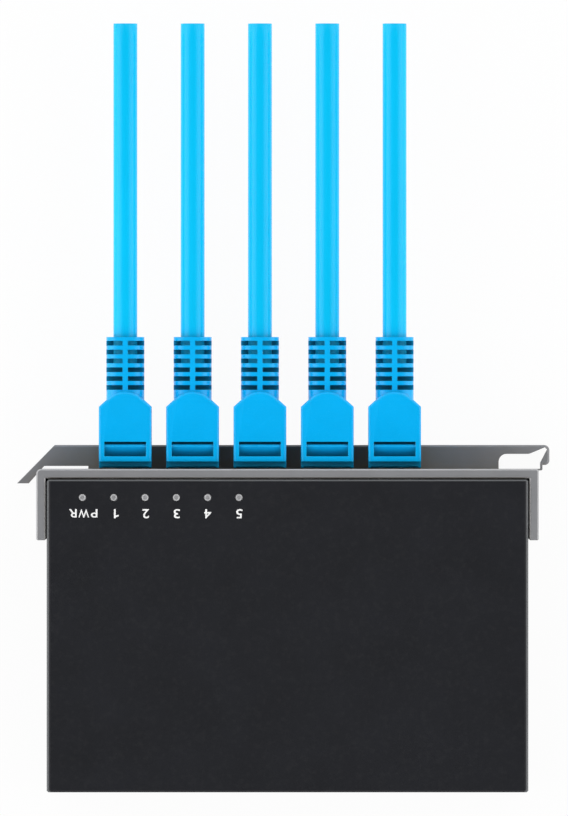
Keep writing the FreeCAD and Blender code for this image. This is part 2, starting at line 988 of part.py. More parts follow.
def all_pieces():
    """Every piece by its name, with the origin under the middle of the case."""
    pieces = {
        "top_cover": top_cover(),
        "base_tray": base_tray(),
        "cover_screws": group(at_cover_screws(driven_screw())),
        "main_board": main_board(),
        "board_posts": group([board_post(x, y) for x, y in board_posts]),
        "power_inlet": power_inlet(),
        "power_pin": power_pin(),
        "indicator_leds": group([indicator_led(x) for x in led_places]),
        "mounting_bracket": mounting_bracket(),
    }
    foot_x = half_width - foot_inset
    foot_y = case_front - foot_inset
    for end, y in (("front", foot_y), ("rear", -foot_y)):
        pieces[end + "_left_foot"] = rubber_foot(-foot_x, y)
        pieces[end + "_right_foot"] = rubber_foot(foot_x, y)
    pieces["light_pipe_power"] = light_pipe(led_places[0])
    contacts = []
    blades = []
    for number, x in enumerate(port_places, 1):
        pieces["light_pipe_%d" % number] = light_pipe(led_places[number])
        pieces["port_jack_%d" % number] = port_jack(x)
        pieces["transformer_%d" % number] = block_on_board(
            x,
            transformer_row,
            transformer_width,
            transformer_depth,
            transformer_height,
            transformer_chamfer,
        )
        pieces["plug_%d" % number] = modular_plug(x)
        pieces["plug_hood_%d" % number] = plug_hood(x)
        pieces["lead_%d" % number] = patch_lead(x)
        contacts += [jack_contact(blade) for blade in blade_places(x)]
        blades += [plug_blade(blade) for blade in blade_places(x)]
    pieces["jack_contacts"] = group(contacts)
    pieces["plug_blades"] = group(blades)
    pieces.update(board_parts())
    return pieces


lip_tip = -collar_outside - lip_outer_reach
latch_tip = collar_outside + latch_reach
origin_shift = Vector(-(lip_tip + latch_tip) / 2, (case_front - bar_front) / 2, 0)

os.makedirs("parts", exist_ok=True)
for name, shape in all_pieces().items():
    shape.translated(origin_shift).exportStep("parts/%s.step" % name)
    print(name, len(shape.Solids), round(shape.Volume, 2), shape.isValid())
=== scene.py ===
# %% [markdown]
# # A small ethernet switch, seen from above
# The frame holds every solid of the switch at its real size and place. This lesson dresses it: it adds
# the leads, the moulded hoods, the printed legends and a finish for each surface. The solids themselves
# stay where they are, so a new piece only has to be built in the same coordinates, in metres.

import json
import math

import bmesh
import bpy
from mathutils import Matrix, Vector

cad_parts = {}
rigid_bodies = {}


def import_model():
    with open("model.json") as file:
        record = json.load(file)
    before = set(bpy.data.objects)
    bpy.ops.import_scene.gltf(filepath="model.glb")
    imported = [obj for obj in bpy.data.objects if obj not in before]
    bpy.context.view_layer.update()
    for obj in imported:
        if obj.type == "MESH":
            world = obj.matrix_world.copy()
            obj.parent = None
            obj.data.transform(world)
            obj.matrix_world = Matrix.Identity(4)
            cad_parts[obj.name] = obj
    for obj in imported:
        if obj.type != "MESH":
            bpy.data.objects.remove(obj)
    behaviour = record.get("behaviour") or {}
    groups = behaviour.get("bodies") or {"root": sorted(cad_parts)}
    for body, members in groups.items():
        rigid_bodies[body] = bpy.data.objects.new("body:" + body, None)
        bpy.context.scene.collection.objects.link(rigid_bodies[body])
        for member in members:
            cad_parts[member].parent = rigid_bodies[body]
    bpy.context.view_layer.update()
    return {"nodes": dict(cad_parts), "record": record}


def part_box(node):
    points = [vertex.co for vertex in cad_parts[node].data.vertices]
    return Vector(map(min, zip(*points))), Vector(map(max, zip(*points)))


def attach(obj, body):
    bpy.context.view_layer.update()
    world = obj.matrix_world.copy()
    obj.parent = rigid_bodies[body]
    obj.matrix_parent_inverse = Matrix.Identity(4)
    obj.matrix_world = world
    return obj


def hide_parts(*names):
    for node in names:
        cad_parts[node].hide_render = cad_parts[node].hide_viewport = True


for leftover in list(bpy.data.objects):
    bpy.data.objects.remove(leftover)
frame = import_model()
nodes = frame["nodes"]
scene = bpy.context.scene
scene.view_settings.view_transform = "Standard"
MM = 0.001

# %% [markdown]
# ## Camera
# The picture looks straight down and shows no converging lines, so it was taken from far off. An
# orthographic camera would do, but a long lens keeps the trace of perspective that a real lens has. The
# lens follows from the height and from the width of the view, so only one of them has to be chosen.

# %% Straight-down camera
SENSOR = 36.0
CAMERA_HEIGHT = 5.0
VIEW_LENGTH = 0.18395
VIEW_CENTRE = (0.00017, 0.04751)
FAR_CLIP = 20.0

cover_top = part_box("top_cover")[1][2]
lens = bpy.data.cameras.new("top_camera")
lens.sensor_width = SENSOR
lens.lens = SENSOR * CAMERA_HEIGHT / VIEW_LENGTH
lens.clip_end = FAR_CLIP
camera = bpy.data.objects.new("top_camera", lens)
camera.location = (*VIEW_CENTRE, cover_top + CAMERA_HEIGHT)
scene.collection.objects.link(camera)
scene.camera = camera
print("lens", round(lens.lens, 1), "mm")

# %% [markdown]
# ## Building shader trees
# Materials here are all made of nodes. Small helpers keep the cells short. The first adds a node with its
# settings and its inputs in one call, where an input is either a value or the socket that feeds it. The
# others do one sum, mix two colours, make noise, stretch a value over a range, or turn it into a mask.


# %% Node helpers
def add(tree, kind, inputs=None, **settings):
    """A new node, with its settings and with values or links on its inputs."""
    node = tree.nodes.new(kind)
    for name, value in settings.items():
        setattr(node, name, value)
    for key, value in (inputs or {}).items():
        if isinstance(value, bpy.types.NodeSocket):
            tree.links.new(value, node.inputs[key])
        else:
            node.inputs[key].default_value = value
    return node


def math_node(tree, operation, first, second=0.0, clamp=False):
    """Result of one sum on two values or sockets."""
    values = {0: first, 1: second}
    return add(tree, "ShaderNodeMath", values, operation=operation, use_clamp=clamp).outputs[0]


def times(tree, first, second, clamp=False):
    """Product of two values or sockets."""
    return math_node(tree, "MULTIPLY", first, second, clamp)


def mix_colour(tree, factor, first, second):
    """Colour between two others."""
    return add(tree, "ShaderNodeMix", {0: factor, 6: first, 7: second}, data_type="RGBA").outputs[2]


def noise(tree, place, scale, detail):
    """Noise from 0 to 1 over a place."""
    return add(tree, "ShaderNodeTexNoise", {"Vector": place, "Scale": scale, "Detail": detail}).outputs[0]


def spread(tree, value, low, high, start=0.0, full=1.0):
    """A value stretched between low and high while it goes from start to full."""
    limits = {0: value, 1: start, 2: full, 3: low, 4: high}
    return add(tree, "ShaderNodeMapRange", limits).outputs[0]


def ramp(tree, value, start, full):
    """A mask that goes from 0 to 1 between two values."""
    return spread(tree, value, 0.0, 1.0, start, full)


# %% [markdown]
# Each finish starts from the Principled shader that a new material holds. A value that is the same all
# over the surface is set on the shader's own socket, and only what changes over the surface is linked.


# %% Material helpers
def shade(colour, factor):
    """A linear colour made lighter or darker."""
    return (*[min(1.0, channel * factor) for channel in colour[:3]], 1.0)


def new_material(name, **sockets):
    """A material, its tree and its Principled shader, with plain values set on the shader."""
    material = bpy.data.materials.new(name)
    material.use_nodes = True
    tree = material.node_tree
    shader = tree.nodes["Principled BSDF"]
    for key, value in sockets.items():
        shader.inputs[key.replace("_", " ")].default_value = value
    return material, tree, shader


def feed(tree, node, **sockets):
    """Links sockets to the inputs of a shader or of the node that ends a group."""
    for key, socket in sockets.items():
        tree.links.new(socket, node.inputs[key.replace("_", " ")])


def raise_bumps(tree, shader, height, relief, strength=0.5, normal=None):
    """Bumps from a height, with a relief in millimetres, on top of a normal where one is given."""
    inputs = {"Strength": strength, "Distance": relief * MM, "Height": height}
    if normal is not None:
        inputs["Normal"] = normal
    feed(tree, shader, Normal=add(tree, "ShaderNodeBump", inputs).outputs[0])


# %% [markdown]
# ## Effects that many finishes share
# Grain, eased edges, dust, drawn streaks, light bends and shaded recesses turn up on many surfaces. Each
# is one node group with named inputs, so a finish only gives its own values. A group gives out masks,
# heights and normals, and the shader itself stays in the material.


# %% Node group helper
def new_group(name, inputs, outputs):
    """An empty shader group with its sockets, and the two nodes that hold them."""
    tree = bpy.data.node_groups.new(name, "ShaderNodeTree")
    for label, kind, value in inputs:
        socket = tree.interface.new_socket(label, in_out="INPUT", socket_type=kind)
        socket.default_value = value
    for label, kind in outputs:
        tree.interface.new_socket(label, in_out="OUTPUT", socket_type=kind)
    return tree, tree.nodes.new("NodeGroupInput"), tree.nodes.new("NodeGroupOutput")


def use_group(tree, group, **values):
    """A group placed in a tree, with its own values."""
    node = tree.nodes.new("ShaderNodeGroup")
    node.node_tree = group
    for label, value in values.items():
        node.inputs[label].default_value = value
    return node.outputs


# %% [markdown]
# ### Fine grain
# Powder coat, moulded plastic and rubber all have a skin of tiny bumps, here with their size in
# millimetres. A second, much larger noise gives the slow mottling that keeps a wide surface alive.

# %% Fine grain group
MOTTLE_RATIO = 0.03
GRAIN_DETAIL, CLOUD_DETAIL = 2.0, 4.0
CLOUD_LOW, CLOUD_HIGH = -0.5, 1.5

FLOAT = "NodeSocketFloat"
VECTOR = "NodeSocketVector"
tree, entry, leave = new_group(
    "fine_grain", [("Size", FLOAT, 0.25)], [("Height", FLOAT), ("Mottle", FLOAT)]
)
place = add(tree, "ShaderNodeTexCoord").outputs["Object"]
per_metre = math_node(tree, "DIVIDE", 1 / MM, entry.outputs["Size"])
bumps = noise(tree, place, per_metre, GRAIN_DETAIL)
slow = times(tree, per_metre, MOTTLE_RATIO)
cloud = noise(tree, place, slow, CLOUD_DETAIL)
feed(tree, leave, Height=bumps, Mottle=spread(tree, cloud, CLOUD_LOW, CLOUD_HIGH))
fine_grain = tree
print(tree.name, len(tree.nodes), "nodes")

# %% [markdown]
# ### Eased edges
# No real edge is perfectly sharp. The Bevel node rounds the normal near an edge, and where the rounded
# normal leaves the true one there is an edge, which gives a mask for a painted line along it: a painted
# highlight on most finishes, painted shade on the hoods.

# %% Eased edges group
EDGE_GAIN = 4.0
BEVEL_SAMPLES = 6

tree, entry, leave = new_group(
    "soft_edges", [("Radius", FLOAT, 0.0002)], [("Normal", VECTOR), ("Edge", FLOAT)]
)
radius = entry.outputs["Radius"]
rounded = add(tree, "ShaderNodeBevel", {"Radius": radius}, samples=BEVEL_SAMPLES).outputs[0]
facing = add(tree, "ShaderNodeNewGeometry").outputs["Normal"]
agreement = add(tree, "ShaderNodeVectorMath", {0: rounded, 1: facing}, operation="DOT_PRODUCT")
turned = math_node(tree, "SUBTRACT", 1.0, agreement.outputs["Value"])
feed(tree, leave, Normal=rounded, Edge=times(tree, turned, EDGE_GAIN, True))
soft_edges = tree
print(tree.name, len(tree.nodes), "nodes")

# %% [markdown]
# ### Settled dust
# Even a new product carries a little dust on what faces up. The mask is the upward part of the normal,
# broken up by noise.

# %% Settled dust group
DUST_SCALE, DUST_DETAIL = 900.0, 6.0
SPECK_START, SPECK_FULL = 0.5, 0.8

tree, entry, leave = new_group("settled_dust", [("Amount", FLOAT, 0.05)], [("Mask", FLOAT)])
facing = add(tree, "ShaderNodeNewGeometry").outputs["Normal"]
upward = add(tree, "ShaderNodeSeparateXYZ", {0: facing}).outputs["Z"]
place = add(tree, "ShaderNodeTexCoord").outputs["Object"]
specks = noise(tree, place, DUST_SCALE, DUST_DETAIL)
specks = ramp(tree, specks, SPECK_START, SPECK_FULL)
mask = times(tree, math_node(tree, "MAXIMUM", upward, 0.0), specks)
feed(tree, leave, Mask=times(tree, mask, entry.outputs["Amount"], True))
settled_dust = tree
print(tree.name, len(tree.nodes), "nodes")

# %% [markdown]
# ### Drawn streaks
# Extruded jackets, drawn wire and rolled metal show fine lines along the way they were pulled. Noise
# that is squeezed by a different factor on each axis does this: the axis with the smallest factor is
# the one that the streaks run along.

# %% Drawn streaks group
STREAK_DETAIL = 3.0
STREAK_LOW, STREAK_HIGH = -0.4, 1.4

tree, entry, leave = new_group(
    "drawn_streaks", [("Squeeze", VECTOR, (4000.0, 40.0, 4000.0))], [("Streak", FLOAT)]
)
place = add(tree, "ShaderNodeTexCoord").outputs["Object"]
squeezed = add(
    tree, "ShaderNodeVectorMath", {0: place, 1: entry.outputs["Squeeze"]}, operation="MULTIPLY"
).outputs[0]
lines = noise(tree, squeezed, 1.0, STREAK_DETAIL)
feed(tree, leave, Streak=spread(tree, lines, STREAK_LOW, STREAK_HIGH))
drawn_streaks = tree
print(tree.name, len(tree.nodes), "nodes")

# %% [markdown]
# ### Painted light along bends
# Paint and moulded skins get a painted highlight along bends and chamfers, where the surface leans
# towards the light. The mask picks out what leans, neither flat nor upright, by the upward part of the
# normal, and only above a given height, so that it keeps to the upper rims. Front is the share of it
# that an edge along the front keeps, beside a fold along the sides. An edge along the back leans away
# from the light and keeps none.

# %% Leaning faces group
UPRIGHT, OFF_UPRIGHT = 0.08, 0.3
NEAR_LEVEL, OFF_LEVEL = 0.9, 0.75
SIDEWAYS = 0.4

tree, entry, leave = new_group(
    "painted_bend_light", [("Above", FLOAT, 0.02), ("Front", FLOAT, 1.0)], [("Mask", FLOAT)]
)
facing = add(tree, "ShaderNodeNewGeometry").outputs["Normal"]
parts = add(tree, "ShaderNodeSeparateXYZ", {0: facing})
upward = parts.outputs["Z"]
off_wall = ramp(tree, upward, UPRIGHT, OFF_UPRIGHT)
off_top = ramp(tree, upward, NEAR_LEVEL, OFF_LEVEL)
place = add(tree, "ShaderNodeTexCoord").outputs["Object"]
height = add(tree, "ShaderNodeSeparateXYZ", {0: place}).outputs["Z"]
upper = math_node(tree, "GREATER_THAN", height, entry.outputs["Above"])
mask = times(tree, times(tree, off_wall, off_top), upper)
aside = math_node(tree, "ABSOLUTE", parts.outputs["X"])
ahead = math_node(tree, "GREATER_THAN", parts.outputs["Y"], 0.0)
ahead = times(tree, ahead, entry.outputs["Front"])
share = spread(tree, aside, ahead, 1.0, 0.0, SIDEWAYS)
feed(tree, leave, Mask=times(tree, mask, share))
painted_bend_light = tree
print(tree.name, len(tree.nodes), "nodes")

# %% [markdown]
# ### Shade in recesses
# Soft light hardly reaches into slots and narrow gaps, and on a strong colour the little that does get
# there is coloured by its many bounces. The Ambient Occlusion node measures how enclosed a point is, the
# same from every side, and the group turns that into a mask.

# %% Recess group
OPEN_LEVEL, SHUT_LEVEL = 0.82, 0.25
OPENNESS_SAMPLES = 12

tree, entry, leave = new_group("recess_shade", [("Reach", FLOAT, 0.002)], [("Mask", FLOAT)])
reach = {"Distance": entry.outputs["Reach"]}
openness = add(tree, "ShaderNodeAmbientOcclusion", reach, samples=OPENNESS_SAMPLES).outputs["AO"]
feed(tree, leave, Mask=ramp(tree, openness, OPEN_LEVEL, SHUT_LEVEL))
recess_shade = tree
print(tree.name, len(tree.nodes), "nodes")


# %% [markdown]
# ## A recipe for paint and moulded plastic
# Most surfaces here are a coloured skin with grain. The recipe mottles the colour a little, paints light
# along edges (shade, where a finish gives a dark edge colour) and bends, and shade in recesses, lays dust
# on top, lets the roughness follow the grain and raises the grain with a Bump node. The eased normal goes
# into the Bump node, so both work together.


# %% Skin recipe
DUST_COLOUR = (0.42, 0.41, 0.39, 1.0)
EDGE_RADIUS, EDGE_HIGHLIGHT_LIFT = 0.15, 2.5
RECESS_SHADE_TONE = 0.07
GLOSS_SPREAD = 0.08


def skin(
    name,
    colour,
    grain,
    relief,
    roughness,
    mottle=0.1,
    edge=0.15,
    edge_colour=None,
    lean=0.0,
    front=1.0,
    dust=0.04,
    recess=0.0,
    recess_colour=None,
    reach=2.5,
    **sockets
):
    """A grained, coloured finish. Grain, relief and reach are in millimetres."""
    material, tree, shader = new_material(name, **sockets)
    grains = use_group(tree, fine_grain, Size=grain)
    edges = use_group(tree, soft_edges, Radius=EDGE_RADIUS * MM)
    tone = mix_colour(tree, grains["Mottle"], shade(colour, 1 - mottle), shade(colour, 1 + mottle))
    # Painted light along edges and leaning bends, or painted shade where the edge colour is darker.
    rim = times(tree, edges["Edge"], edge)
    if lean:
        bend = times(tree, use_group(tree, painted_bend_light, Front=front)["Mask"], lean)
        rim = math_node(tree, "MAXIMUM", rim, bend)
    tone = mix_colour(tree, rim, tone, edge_colour or shade(colour, EDGE_HIGHLIGHT_LIFT))
    if dust:
        tone = mix_colour(tree, use_group(tree, settled_dust, Amount=dust)["Mask"], tone, DUST_COLOUR)
    # Painted shade: the colour darkens where the surface is enclosed.
    if recess:
        deep = times(tree, use_group(tree, recess_shade, Reach=reach * MM)["Mask"], recess)
        tone = mix_colour(tree, deep, tone, recess_colour or shade(colour, RECESS_SHADE_TONE))
    gloss = spread(tree, grains["Height"], roughness - GLOSS_SPREAD, roughness + GLOSS_SPREAD)
    feed(tree, shader, Base_Color=tone, Roughness=gloss)
    raise_bumps(tree, shader, grains["Height"], relief, 1.0, edges["Normal"])
    return material


# %% [markdown]
# ## The leads
# Five round patch leads leave their sleeves and run straight to a cut end. A cord could be a curve with
# a round bevel, but a cut end needs more than that can give: a jacket ring, a hollow and the wires in
# it. So the line is a NURBS spline, and the tube is built round points read from it.

# %% Line of a lead
LEAD_DIAMETER = 0.0054
LEAD_LENGTH = 0.0708
LEAD_HEIGHT = 0.0132
SLEEVE_END = 0.06354
STRAIGHT_HOLD = 6 * LEAD_DIAMETER
PORT_X = [-0.03566, -0.02046, -0.00526, 0.00994, 0.02514]


def keep(obj, slot_name, *replaced):
    """Adds a finished piece to the scene and ties it to the frame."""
    scene.collection.objects.link(obj)
    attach(obj, "root")
    if replaced:
        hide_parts(*replaced)
    return obj


def curve_mesh(curve):
    """Mesh of a curve or a text, which is then removed."""
    carrier = bpy.data.objects.new("carrier", curve)
    data = bpy.data.meshes.new_from_object(carrier)
    bpy.data.objects.remove(carrier)
    bpy.data.curves.remove(curve)
    return data


def spline_points(route):
    """Points along a NURBS spline that has the route's points as its control points."""
    curve = bpy.data.curves.new("route", "CURVE")
    curve.dimensions = "3D"
    spline = curve.splines.new("NURBS")
    spline.points.add(len(route) - 1)
    for point, spot in zip(spline.points, route):
        point.co = (*spot, 1.0)
    spline.order_u = 3
    spline.use_endpoint_u = True
    line = curve_mesh(curve)
    points = [vertex.co.copy() for vertex in line.vertices]
    bpy.data.meshes.remove(line)
    return points


lead_lines = []
for x in PORT_X:
    exit_point = (x, SLEEVE_END, LEAD_HEIGHT)
    held = (x, SLEEVE_END + STRAIGHT_HOLD, LEAD_HEIGHT)
    cut_end = (x, SLEEVE_END + LEAD_LENGTH, LEAD_HEIGHT)
    lead_lines.append(spline_points([exit_point, held, cut_end]))
print(len(lead_lines[0]), "points on each line")

# %% [markdown]
# ### Jacket finish
# The jacket is extruded, so it is smoother along the lead than round it: long faint streaks in gloss and
# height, and a slow drift of tone. Its blue is deep, and a low specular level keeps the white
# surroundings from washing it out. Near the sleeve, painted shade takes the blue over to a deep teal.

# %% Jacket material
JACKET_BLUE = (0.0015, 0.53, 0.90)
PAINTED_SHADE_TEAL = (0.004, 0.06, 0.02, 1)
JACKET_DRIFT = 0.05
JACKET_SQUEEZE = (1400.0, 40.0, 1400.0)
STREAK_TONE, STREAK_SHARE = 0.7, 0.06
SLEEVE_REACH, SLEEVE_SHADE = 4.0 * MM, 0.6
JACKET_GLOSS = (0.22, 0.30)

lead_jacket, tree, shader = new_material("lead_jacket_finish", Specular_IOR_Level=0.19)
grains = use_group(tree, fine_grain, Size=1.0)
streaks = use_group(tree, drawn_streaks, Squeeze=JACKET_SQUEEZE)
darker, lighter = shade(JACKET_BLUE, 1 - JACKET_DRIFT), shade(JACKET_BLUE, 1 + JACKET_DRIFT)
tone = mix_colour(tree, grains["Mottle"], darker, lighter)
drawn = times(tree, streaks["Streak"], STREAK_SHARE)
tone = mix_colour(tree, drawn, tone, shade(JACKET_BLUE, STREAK_TONE))
# Painted shade: near the sleeve the colour goes over to a deep teal.
deep = use_group(tree, recess_shade, Reach=SLEEVE_REACH)["Mask"]
tone = mix_colour(tree, times(tree, deep, SLEEVE_SHADE), tone, PAINTED_SHADE_TEAL)
feed(tree, shader, Base_Color=tone, Roughness=spread(tree, streaks["Streak"], *JACKET_GLOSS))
height = math_node(tree, "ADD", streaks["Streak"], grains["Height"])
raise_bumps(tree, shader, height, relief=0.002)
print(lead_jacket.name)

# %% [markdown]
# ### Tube and cut end
# The tube is a list of rings joined by faces. At the far end the list goes on over the edge, in across
# the cut jacket and down into a shallow hollow, which makes the end look cut and not closed.

# %% Rings and meshes
RING_SIDES = 48


def ring(mesh, centre, radius, upright=False):
    """A ring of vertices square to the Y axis, or to the Z axis if it is upright."""
    corners = []
    for step in range(RING_SIDES):
        angle = 2 * math.pi * step / RING_SIDES
        u, v = radius * math.cos(angle), radius * math.sin(angle)
        corners.append(mesh.verts.new(centre + Vector((u, v, 0) if upright else (u, 0, v))))
    return corners


def bridge(mesh, first, second, smooth=True):
    """Faces between two rings."""
    for index in range(len(first)):
        after = (index + 1) % len(first)
        face = mesh.faces.new((first[index], second[index], second[after], first[after]))
        face.smooth = smooth


def mesh_object(mesh, name, *materials, sharp=None):
    """An object from a finished bmesh, with its materials, and sharp past an angle in degrees."""
    data = bpy.data.meshes.new(name)
    mesh.to_mesh(data)
    mesh.free()
    for material in materials:
        data.materials.append(material)
    if sharp:
        data.set_sharp_from_angle(angle=math.radians(sharp))
    return bpy.data.objects.new(name, data)


# %% Lead tubes
JACKET_WALL = 0.55 * MM
END_EASE = 0.08 * MM
HOLLOW_DEPTH = 0.7 * MM
LEAD_SHARP = 50


def lead_tube(name, line):
    """A closed tube along a line, with a hollow in its far end."""
    mesh = bmesh.new()
    radius = LEAD_DIAMETER / 2
    end = line[-1]
    back = Vector((0, -1, 0))
    rings = [ring(mesh, point, radius) for point in line[:-1]]
    rings.append(ring(mesh, end + back * END_EASE, radius))
    rings.append(ring(mesh, end, radius - END_EASE))
    rings.append(ring(mesh, end, radius - JACKET_WALL))
    rings.append(ring(mesh, end + back * HOLLOW_DEPTH, radius - JACKET_WALL))
    for first, second in zip(rings, rings[1:]):
        bridge(mesh, first, second)
    mesh.faces.new(rings[0])
    mesh.faces.new(list(reversed(rings[-1])))
    bmesh.ops.recalc_face_normals(mesh, faces=mesh.faces)
    return mesh_object(mesh, name, lead_jacket, sharp=LEAD_SHARP)


for number, line in enumerate(lead_lines, 1):
    keep(lead_tube("patch_lead_%d" % number, line), "lead_jacket", "lead_%d" % number)

# %% [markdown]
# ### Wires in the cut end
# Such a lead holds eight wires in four twisted pairs, one plain and one white in each pair. They are
# short rods standing in the hollow, a little below the jacket. One material colours them all: each
# wire's colour is stored on its corners as a colour attribute, and the copper is a second material.

# %% Wire skin
WIRE_FADE = 0.2
FADED_WHITE = (0.9, 0.9, 0.9, 1)

wire_skin, tree, shader = new_material("wire_skin", Roughness=0.45, Specular_IOR_Level=0.4)
stored = add(tree, "ShaderNodeVertexColor", layer_name="wire_colour").outputs[0]
grains = use_group(tree, fine_grain, Size=0.12)
faded = times(tree, grains["Mottle"], WIRE_FADE)
feed(tree, shader, Base_Color=mix_colour(tree, faded, stored, FADED_WHITE))
raise_bumps(tree, shader, grains["Height"], relief=0.003)
print(wire_skin.name)

# %% Drawn metals
METAL_GRAIN, METAL_EDGE = 0.3, 0.08
LINE_TONE, TARNISH_TONE = 0.92, 0.5
LINE_GLOSS = 0.07
COPPER_COLOUR, COPPER_SQUEEZE = (0.72, 0.34, 0.18, 1), (6000.0, 200.0, 6000.0)


def drawn_metal(name, colour, roughness, squeeze, tarnish):
    """A drawn or rolled metal with streaks along one axis and slight dulling."""
    material, tree, shader = new_material(name, Metallic=1.0)
    streaks = use_group(tree, drawn_streaks, Squeeze=squeeze)
    grains = use_group(tree, fine_grain, Size=METAL_GRAIN)
    edges = use_group(tree, soft_edges, Radius=METAL_EDGE * MM)
    tone = mix_colour(tree, streaks["Streak"], shade(colour, LINE_TONE), colour)
    dull = times(tree, grains["Mottle"], tarnish)
    tone = mix_colour(tree, dull, tone, shade(colour, TARNISH_TONE))
    gloss = spread(tree, streaks["Streak"], roughness - LINE_GLOSS, roughness + LINE_GLOSS)
    feed(tree, shader, Base_Color=tone, Roughness=gloss)
    raise_bumps(tree, shader, streaks["Streak"], relief=0.002, normal=edges["Normal"])
    return material


wire_copper = drawn_metal("wire_copper", COPPER_COLOUR, 0.3, COPPER_SQUEEZE, tarnish=0.25)
print(wire_copper.name)

# %% Wires of each lead
PAIR_COLOURS = [
    (0.02, 0.08, 0.42, 1),
    (0.55, 0.16, 0.01, 1),
    (0.02, 0.24, 0.05, 1),
    (0.16, 0.06, 0.02, 1),
]
WIRE_WHITE = (0.75, 0.75, 0.72, 1)
PAIR_CIRCLE = 1.08 * MM
PAIR_HALF = 0.46 * MM
WIRE_RADIUS = 0.44 * MM
CORE_RADIUS = 0.25 * MM
WIRE_DROP = 0.2 * MM
CORE_DROP = 0.08 * MM
PAIR_TURN = 0.9
WIRE_SIDES = 16
TWIST_STEP = 0.7


def lead_wires(name, end, twist):
    """Eight wire ends in a cut lead, turned by an angle that differs from lead to lead."""
    mesh = bmesh.new()
    colours = mesh.loops.layers.color.new("wire_colour")
    floor = end + Vector((0, -HOLLOW_DEPTH, 0))
    for pair, colour in enumerate(PAIR_COLOURS):
        around = twist + math.pi / 2 * pair
        centre = Vector((PAIR_CIRCLE * math.cos(around), 0, PAIR_CIRCLE * math.sin(around)))
        lean = around + PAIR_TURN * (pair + 1)
        aside = Vector((PAIR_HALF * math.cos(lean), 0, PAIR_HALF * math.sin(lean)))
        for side, tint in ((-1, colour), (1, WIRE_WHITE)):
            for radius, drop, slot in ((WIRE_RADIUS, WIRE_DROP, 0), (CORE_RADIUS, CORE_DROP, 1)):
                length = HOLLOW_DEPTH - drop
                made = bmesh.ops.create_cone(
                    mesh, cap_ends=True, segments=WIRE_SIDES, radius1=radius, radius2=radius, depth=length
                )["verts"]
                for vertex in made:
                    along = vertex.co.z + length / 2
                    vertex.co = floor + centre + aside * side + Vector((vertex.co.x, along, vertex.co.y))
                for face in {face for vertex in made for face in vertex.link_faces}:
                    face.material_index = slot
                    for loop in face.loops:
                        loop[colours] = tint
    bmesh.ops.recalc_face_normals(mesh, faces=mesh.faces)
    return mesh_object(mesh, name, wire_skin, wire_copper)


lead_ends = []
for number, line in enumerate(lead_lines, 1):
    wires = lead_wires("lead_wires_%d" % number, line[-1], TWIST_STEP * number)
    lead_ends.append(keep(wires, "contact_gold"))
print(len(lead_ends), "sets of eight wires")

# %% [markdown]
# ## The hoods
# Each plug has a moulded hood: a flat body with sloped shoulders, a window over the latch lever, and a
# slotted sleeve that lets the lead bend. One could push and pull a cube by hand. Here each form is drawn
# as an outline and pulled into a prism, and Boolean modifiers join the prisms and cut the openings, as
# the mould itself is cut. A Bevel modifier then eases what is still sharp.


# %% Prisms
def rectangle(u_low, u_high, v_low, v_high):
    """Corners of a rectangle."""
    return [(u_low, v_low), (u_high, v_low), (u_high, v_high), (u_low, v_high)]


def prism(name, outline, axis, low, high):
    """An outline in millimetres pulled along an axis, as an object."""
    mesh = bmesh.new()
    ends = []
    for level in (low, high):
        spots = []
        for u, v in outline:
            spot = {"x": (level, u, v), "y": (u, level, v), "z": (u, v, level)}[axis]
            spots.append(mesh.verts.new(Vector(spot) * MM))
        ends.append(spots)
    bridge(mesh, *ends, smooth=False)
    mesh.faces.new(ends[0])
    mesh.faces.new(list(reversed(ends[1])))
    bmesh.ops.recalc_face_normals(mesh, faces=mesh.faces)
    obj = mesh_object(mesh, name)
    scene.collection.objects.link(obj)
    return obj


# %% Booleans and bevels
def settle(obj):
    """Puts the result of an object's modifiers into its mesh."""
    bpy.context.view_layer.update()
    seen = obj.evaluated_get(bpy.context.evaluated_depsgraph_get())
    result = bpy.data.meshes.new_from_object(seen)
    obj.modifiers.clear()
    obj.data = result
    return obj


def carve(obj, operation, *tools):
    """Joins tools to an object or cuts them out of it, and removes them."""
    for tool in tools:
        step = obj.modifiers.new("carve", "BOOLEAN")
        step.operation = operation
        step.solver = "EXACT"
        step.object = tool
        settle(obj)
        bpy.data.objects.remove(tool)
    return obj


def bevel_edges(obj, width, segments, chosen):
    """Rounds the edges that a test picks out."""
    mesh = bmesh.new()
    mesh.from_mesh(obj.data)
    edges = [edge for edge in mesh.edges if chosen(*[vertex.co / MM for vertex in edge.verts])]
    settings = {"segments": segments, "profile": 0.5, "affect": "EDGES", "clamp_overlap": True}
    bmesh.ops.bevel(mesh, geom=edges, offset=width * MM, **settings)
    mesh.to_mesh(obj.data)
    mesh.free()


# %% [markdown]
# ### Form of one hood
# The sleeve is a barrel: its section is a superellipse, between a circle and a rectangle. The slots are
# cut on both sides of a narrow spine, above and below. In the three slots nearest the end the lead shows
# inside the sleeve, so a bore is cut there and a short length of lead is put in it. All sizes of the
# hood are in millimetres.

# %% Hood sizes
HOOD_FRONT, HOOD_SHOULDER, HOOD_BACK, HOOD_END = 34.05, 47.80, 49.30, 63.54
HOOD_LOW, HOOD_TOP = 8.2, 19.6
HOOD_HALF, SLEEVE_HALF, SLEEVE_RISE = 5.95, 4.3, 4.2
AXIS = LEAD_HEIGHT / MM
SECTION_POWER, ROUND_POWER = 2.8, 2.0
SECTION_STEPS = 64
TONGUE_RISE, TONGUE_INSET, TONGUE_ROOT = 1.85, 0.2, 1.0
TONGUE_STEPS = 24


def barrel(half_width, half_height, power):
    """Points of a superellipse round the lead's axis."""
    points = []
    for step in range(SECTION_STEPS):
        angle = 2 * math.pi * (step + 0.5) / SECTION_STEPS
        c, s = math.cos(angle), math.sin(angle)
        u = math.copysign(abs(c) ** (2 / power), c) * half_width
        v = math.copysign(abs(s) ** (2 / power), s) * half_height
        points.append((u, AXIS + v))
    return points


